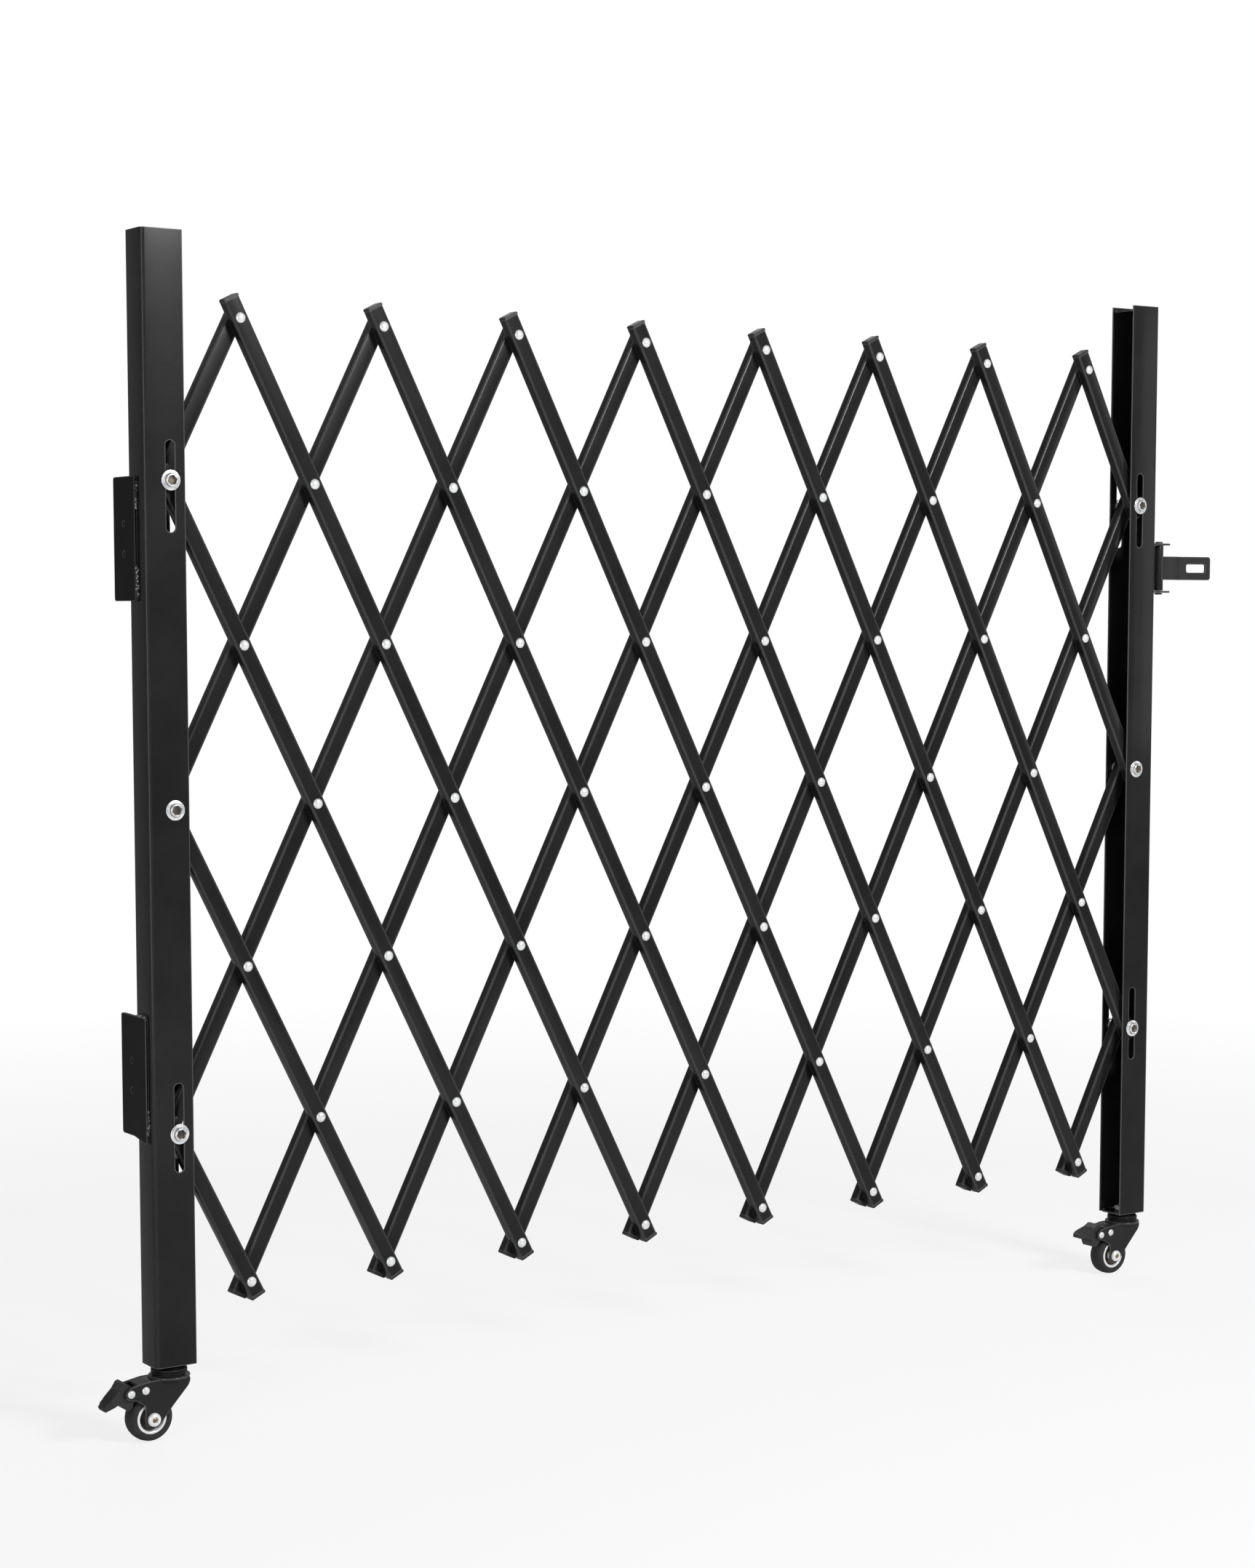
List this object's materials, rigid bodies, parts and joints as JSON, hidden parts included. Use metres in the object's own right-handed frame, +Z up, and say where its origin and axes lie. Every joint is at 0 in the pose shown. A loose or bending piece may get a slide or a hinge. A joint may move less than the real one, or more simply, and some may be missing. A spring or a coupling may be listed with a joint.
{
  "type": "expandable safety barrier",
  "caption": "Expandable scissor-lattice safety barrier: riveted channel bars between slotted channel posts, with wall brackets, a slotted hasp and braked swivel casters.",
  "frame": {"origin": "middle of the upper wall bracket's outer face, which lies against the wall or door post", "axes": "+X away from the wall, along the barrier; +Y from the barrier's front to its rear; +Z up"},
  "size_m": [1.5752, 0.0713, 1.24],
  "materials": {
    "black_powder_coat": "satin black powder coat",
    "bright_zinc": "bright zinc-plated steel",
    "black_rubber": "matte black rubber",
    "bright_rim": "bright rim",
    "black_plastic": "matte black plastic",
    "black_caster_steel": "black coated steel"
  },
  "bodies": {
    "left_post": {"left_post": "black_powder_coat", "left_post_top_plate": "black_powder_coat", "left_post_foot_plate": "black_powder_coat", "left_middle_bolt": "bright_zinc", "left_caster_stem": "black_caster_steel", "left_caster_stem_nut": "bright_zinc", "upper_wall_bracket": "black_powder_coat", "lower_wall_bracket": "black_powder_coat"},
    "right_post": {"right_post": "black_powder_coat", "right_post_top_plate": "black_powder_coat", "right_post_foot_plate": "black_powder_coat", "right_middle_bolt": "bright_zinc", "right_caster_stem": "black_caster_steel", "right_caster_stem_nut": "bright_zinc", "hasp_bracket": "black_powder_coat", "hasp_pin": "black_powder_coat"},
    "front_bar_01": {"front_bar_01": "black_powder_coat", "left_lower_slot_bolt": "bright_zinc"},
    "front_bar_02": {"front_bar_02": "black_powder_coat"},
    "front_bar_03": {"front_bar_03": "black_powder_coat", "left_upper_slot_bolt": "bright_zinc"},
    "front_bar_04": {"front_bar_04": "black_powder_coat"},
    "front_bar_05": {"front_bar_05": "black_powder_coat"},
    "front_bar_06": {"front_bar_06": "black_powder_coat"},
    "front_bar_07": {"front_bar_07": "black_powder_coat"},
    "front_bar_08": {"front_bar_08": "black_powder_coat"},
    "front_bar_09": {"front_bar_09": "black_powder_coat", "right_lower_slot_bolt": "bright_zinc"},
    "front_bar_10": {"front_bar_10": "black_powder_coat"},
    "front_bar_11": {"front_bar_11": "black_powder_coat", "right_upper_slot_bolt": "bright_zinc"},
    "rear_bar_01": {"rear_bar_01": "black_powder_coat"},
    "rear_bar_02": {"rear_bar_02": "black_powder_coat"},
    "rear_bar_03": {"rear_bar_03": "black_powder_coat"},
    "rear_bar_04": {"rear_bar_04": "black_powder_coat"},
    "rear_bar_05": {"rear_bar_05": "black_powder_coat"},
    "rear_bar_06": {"rear_bar_06": "black_powder_coat"},
    "rear_bar_07": {"rear_bar_07": "black_powder_coat"},
    "rear_bar_08": {"rear_bar_08": "black_powder_coat"},
    "rear_bar_09": {"rear_bar_09": "black_powder_coat"},
    "rear_bar_10": {"rear_bar_10": "black_powder_coat"},
    "rear_bar_11": {"rear_bar_11": "black_powder_coat"},
    "hasp_tongue": {"hasp_tongue": "black_powder_coat"},
    "left_caster_fork": {"left_caster_fork": "black_powder_coat", "left_caster_axle": "bright_zinc", "left_caster_brake_pin": "bright_zinc", "left_caster_stop_pin": "bright_zinc"},
    "left_caster_wheel": {"left_caster_tyre": "black_rubber", "left_caster_hub": "bright_rim"},
    "left_caster_brake": {"left_caster_brake": "black_plastic"},
    "right_caster_fork": {"right_caster_fork": "black_powder_coat", "right_caster_axle": "bright_zinc", "right_caster_brake_pin": "bright_zinc", "right_caster_stop_pin": "bright_zinc"},
    "right_caster_wheel": {"right_caster_tyre": "black_rubber", "right_caster_hub": "bright_rim"},
    "right_caster_brake": {"right_caster_brake": "black_plastic"}
  },
  "joints": [
    {"name": "rear_bar_02_pivot", "type": "hinge", "parent": "left_post", "child": "rear_bar_02", "pos_m": [0.0329, -0.022, -0.2755], "axis": [0, 1, 0], "range_deg": [-17.7, 13.3]},
    {"name": "front_bar_02_pivot", "type": "hinge", "parent": "left_post", "child": "front_bar_02", "pos_m": [0.0329, -0.022, -0.2755], "axis": [0, 1, 0], "range_deg": [-14.3, 18.7]},
    {"name": "front_bar_05_pivot", "type": "hinge", "parent": "rear_bar_02", "child": "front_bar_05", "pos_m": [0.28497, -0.022, 0.22568], "axis": [0, 1, 0], "range_deg": [-27.6, 36.4]},
    {"name": "front_bar_04_pivot", "type": "hinge", "parent": "rear_bar_02", "child": "front_bar_04", "pos_m": [0.20095, -0.022, 0.05862], "axis": [0, 1, 0], "range_deg": [-27.6, 36.4]},
    {"name": "front_bar_03_pivot", "type": "hinge", "parent": "rear_bar_02", "child": "front_bar_03", "pos_m": [0.11692, -0.022, -0.10844], "axis": [0, 1, 0], "range_deg": [-27.6, 36.4]},
    {"name": "rear_bar_03_pivot", "type": "hinge", "parent": "front_bar_02", "child": "rear_bar_03", "pos_m": [0.11692, -0.022, -0.44256], "axis": [0, 1, 0], "range_deg": [-36.4, 27.6]},
    {"name": "rear_bar_04_pivot", "type": "hinge", "parent": "front_bar_02", "child": "rear_bar_04", "pos_m": [0.20095, -0.022, -0.60962], "axis": [0, 1, 0], "range_deg": [-36.4, 27.6]},
    {"name": "rear_bar_05_pivot", "type": "hinge", "parent": "front_bar_02", "child": "rear_bar_05", "pos_m": [0.28497, -0.022, -0.77668], "axis": [0, 1, 0], "range_deg": [-36.4, 27.6]},
    {"name": "rear_bar_06_pivot", "type": "hinge", "parent": "front_bar_05", "child": "rear_bar_06", "pos_m": [0.62106, -0.022, -0.44256], "axis": [0, 1, 0], "range_deg": [-36.4, 27.6]},
    {"name": "rear_bar_07_pivot", "type": "hinge", "parent": "front_bar_05", "child": "rear_bar_07", "pos_m": [0.70508, -0.022, -0.60962], "axis": [0, 1, 0], "range_deg": [-36.4, 27.6]},
    {"name": "rear_bar_08_pivot", "type": "hinge", "parent": "front_bar_05", "child": "rear_bar_08", "pos_m": [0.7891, -0.022, -0.77668], "axis": [0, 1, 0], "range_deg": [-36.4, 27.6]},
    {"name": "front_bar_08_pivot", "type": "hinge", "parent": "rear_bar_05", "child": "front_bar_08", "pos_m": [0.7891, -0.022, 0.22568], "axis": [0, 1, 0], "range_deg": [-27.6, 36.4]},
    {"name": "front_bar_07_pivot", "type": "hinge", "parent": "rear_bar_05", "child": "front_bar_07", "pos_m": [0.70508, -0.022, 0.05862], "axis": [0, 1, 0], "range_deg": [-27.6, 36.4]},
    {"name": "front_bar_06_pivot", "type": "hinge", "parent": "rear_bar_05", "child": "front_bar_06", "pos_m": [0.62106, -0.022, -0.10844], "axis": [0, 1, 0], "range_deg": [-27.6, 36.4]},
    {"name": "rear_bar_01_pivot", "type": "hinge", "parent": "front_bar_03", "child": "rear_bar_01", "pos_m": [0.0329, -0.022, 0.05862], "axis": [0, 1, 0], "range_deg": [-36.4, 27.6]},
    {"name": "front_bar_01_pivot", "type": "hinge", "parent": "rear_bar_03", "child": "front_bar_01", "pos_m": [0.0329, -0.022, -0.60962], "axis": [0, 1, 0], "range_deg": [-27.6, 36.4]},
    {"name": "front_bar_11_pivot", "type": "hinge", "parent": "rear_bar_08", "child": "front_bar_11", "pos_m": [1.29324, -0.022, 0.22568], "axis": [0, 1, 0], "range_deg": [-27.6, 36.4]},
    {"name": "front_bar_10_pivot", "type": "hinge", "parent": "rear_bar_08", "child": "front_bar_10", "pos_m": [1.20922, -0.022, 0.05862], "axis": [0, 1, 0], "range_deg": [-27.6, 36.4]},
    {"name": "front_bar_09_pivot", "type": "hinge", "parent": "rear_bar_08", "child": "front_bar_09", "pos_m": [1.12519, -0.022, -0.10844], "axis": [0, 1, 0], "range_deg": [-27.6, 36.4]},
    {"name": "rear_bar_09_pivot", "type": "hinge", "parent": "front_bar_08", "child": "rear_bar_09", "pos_m": [1.12519, -0.022, -0.44256], "axis": [0, 1, 0], "range_deg": [-36.4, 27.6]},
    {"name": "rear_bar_10_pivot", "type": "hinge", "parent": "front_bar_08", "child": "rear_bar_10", "pos_m": [1.20922, -0.022, -0.60962], "axis": [0, 1, 0], "range_deg": [-36.4, 27.6]},
    {"name": "rear_bar_11_pivot", "type": "hinge", "parent": "front_bar_08", "child": "rear_bar_11", "pos_m": [1.29324, -0.022, -0.77668], "axis": [0, 1, 0], "range_deg": [-36.4, 27.6]},
    {"name": "right_post_pivot", "type": "hinge", "parent": "front_bar_10", "child": "right_post", "pos_m": [1.37726, -0.022, -0.2755], "axis": [0, 1, 0], "range_deg": [-18.7, 14.3]},
    {"name": "hasp_hinge", "type": "hinge", "parent": "right_post", "child": "hasp_tongue", "pos_m": [1.43036, -0.022, -0.0195], "axis": [0, 0, 1], "range_deg": [-90, 90]},
    {"name": "left_caster_swivel", "type": "hinge", "parent": "left_post", "child": "left_caster_fork", "pos_m": [0.0263, -0.022, -0.86245], "axis": [0, 0, 1], "continuous": true},
    {"name": "left_caster_axle_spin", "type": "hinge", "parent": "left_caster_fork", "child": "left_caster_wheel", "pos_m": [0.0023, -0.022, -0.9065], "axis": [0, 1, 0], "continuous": true},
    {"name": "left_caster_brake_hinge", "type": "hinge", "parent": "left_caster_fork", "child": "left_caster_brake", "pos_m": [-0.02244, -0.022, -0.87636], "axis": [0, 1, 0], "range_deg": [0, 28]},
    {"name": "right_caster_swivel", "type": "hinge", "parent": "right_post", "child": "right_caster_fork", "pos_m": [1.38386, -0.022, -0.86245], "axis": [0, 0, 1], "continuous": true},
    {"name": "right_caster_axle_spin", "type": "hinge", "parent": "right_caster_fork", "child": "right_caster_wheel", "pos_m": [1.35986, -0.022, -0.9065], "axis": [0, 1, 0], "continuous": true},
    {"name": "right_caster_brake_hinge", "type": "hinge", "parent": "right_caster_fork", "child": "right_caster_brake", "pos_m": [1.33512, -0.022, -0.87636], "axis": [0, 1, 0], "range_deg": [-28, 0]}
  ],
  "couplings": [
    {"joint": "front_bar_02_pivot", "follows": "rear_bar_02_pivot", "ratio": -1},
    {"joint": "front_bar_05_pivot", "follows": "rear_bar_02_pivot", "ratio": -2},
    {"joint": "front_bar_04_pivot", "follows": "rear_bar_02_pivot", "ratio": -2},
    {"joint": "front_bar_03_pivot", "follows": "rear_bar_02_pivot", "ratio": -2},
    {"joint": "rear_bar_03_pivot", "follows": "rear_bar_02_pivot", "ratio": 2},
    {"joint": "rear_bar_04_pivot", "follows": "rear_bar_02_pivot", "ratio": 2},
    {"joint": "rear_bar_05_pivot", "follows": "rear_bar_02_pivot", "ratio": 2},
    {"joint": "rear_bar_06_pivot", "follows": "rear_bar_02_pivot", "ratio": 2},
    {"joint": "rear_bar_07_pivot", "follows": "rear_bar_02_pivot", "ratio": 2},
    {"joint": "rear_bar_08_pivot", "follows": "rear_bar_02_pivot", "ratio": 2},
    {"joint": "front_bar_08_pivot", "follows": "rear_bar_02_pivot", "ratio": -2},
    {"joint": "front_bar_07_pivot", "follows": "rear_bar_02_pivot", "ratio": -2},
    {"joint": "front_bar_06_pivot", "follows": "rear_bar_02_pivot", "ratio": -2},
    {"joint": "rear_bar_01_pivot", "follows": "rear_bar_02_pivot", "ratio": 2},
    {"joint": "front_bar_01_pivot", "follows": "rear_bar_02_pivot", "ratio": -2},
    {"joint": "front_bar_11_pivot", "follows": "rear_bar_02_pivot", "ratio": -2},
    {"joint": "front_bar_10_pivot", "follows": "rear_bar_02_pivot", "ratio": -2},
    {"joint": "front_bar_09_pivot", "follows": "rear_bar_02_pivot", "ratio": -2},
    {"joint": "rear_bar_09_pivot", "follows": "rear_bar_02_pivot", "ratio": 2},
    {"joint": "rear_bar_10_pivot", "follows": "rear_bar_02_pivot", "ratio": 2},
    {"joint": "rear_bar_11_pivot", "follows": "rear_bar_02_pivot", "ratio": 2},
    {"joint": "right_post_pivot", "follows": "rear_bar_02_pivot", "ratio": 1}
  ]
}
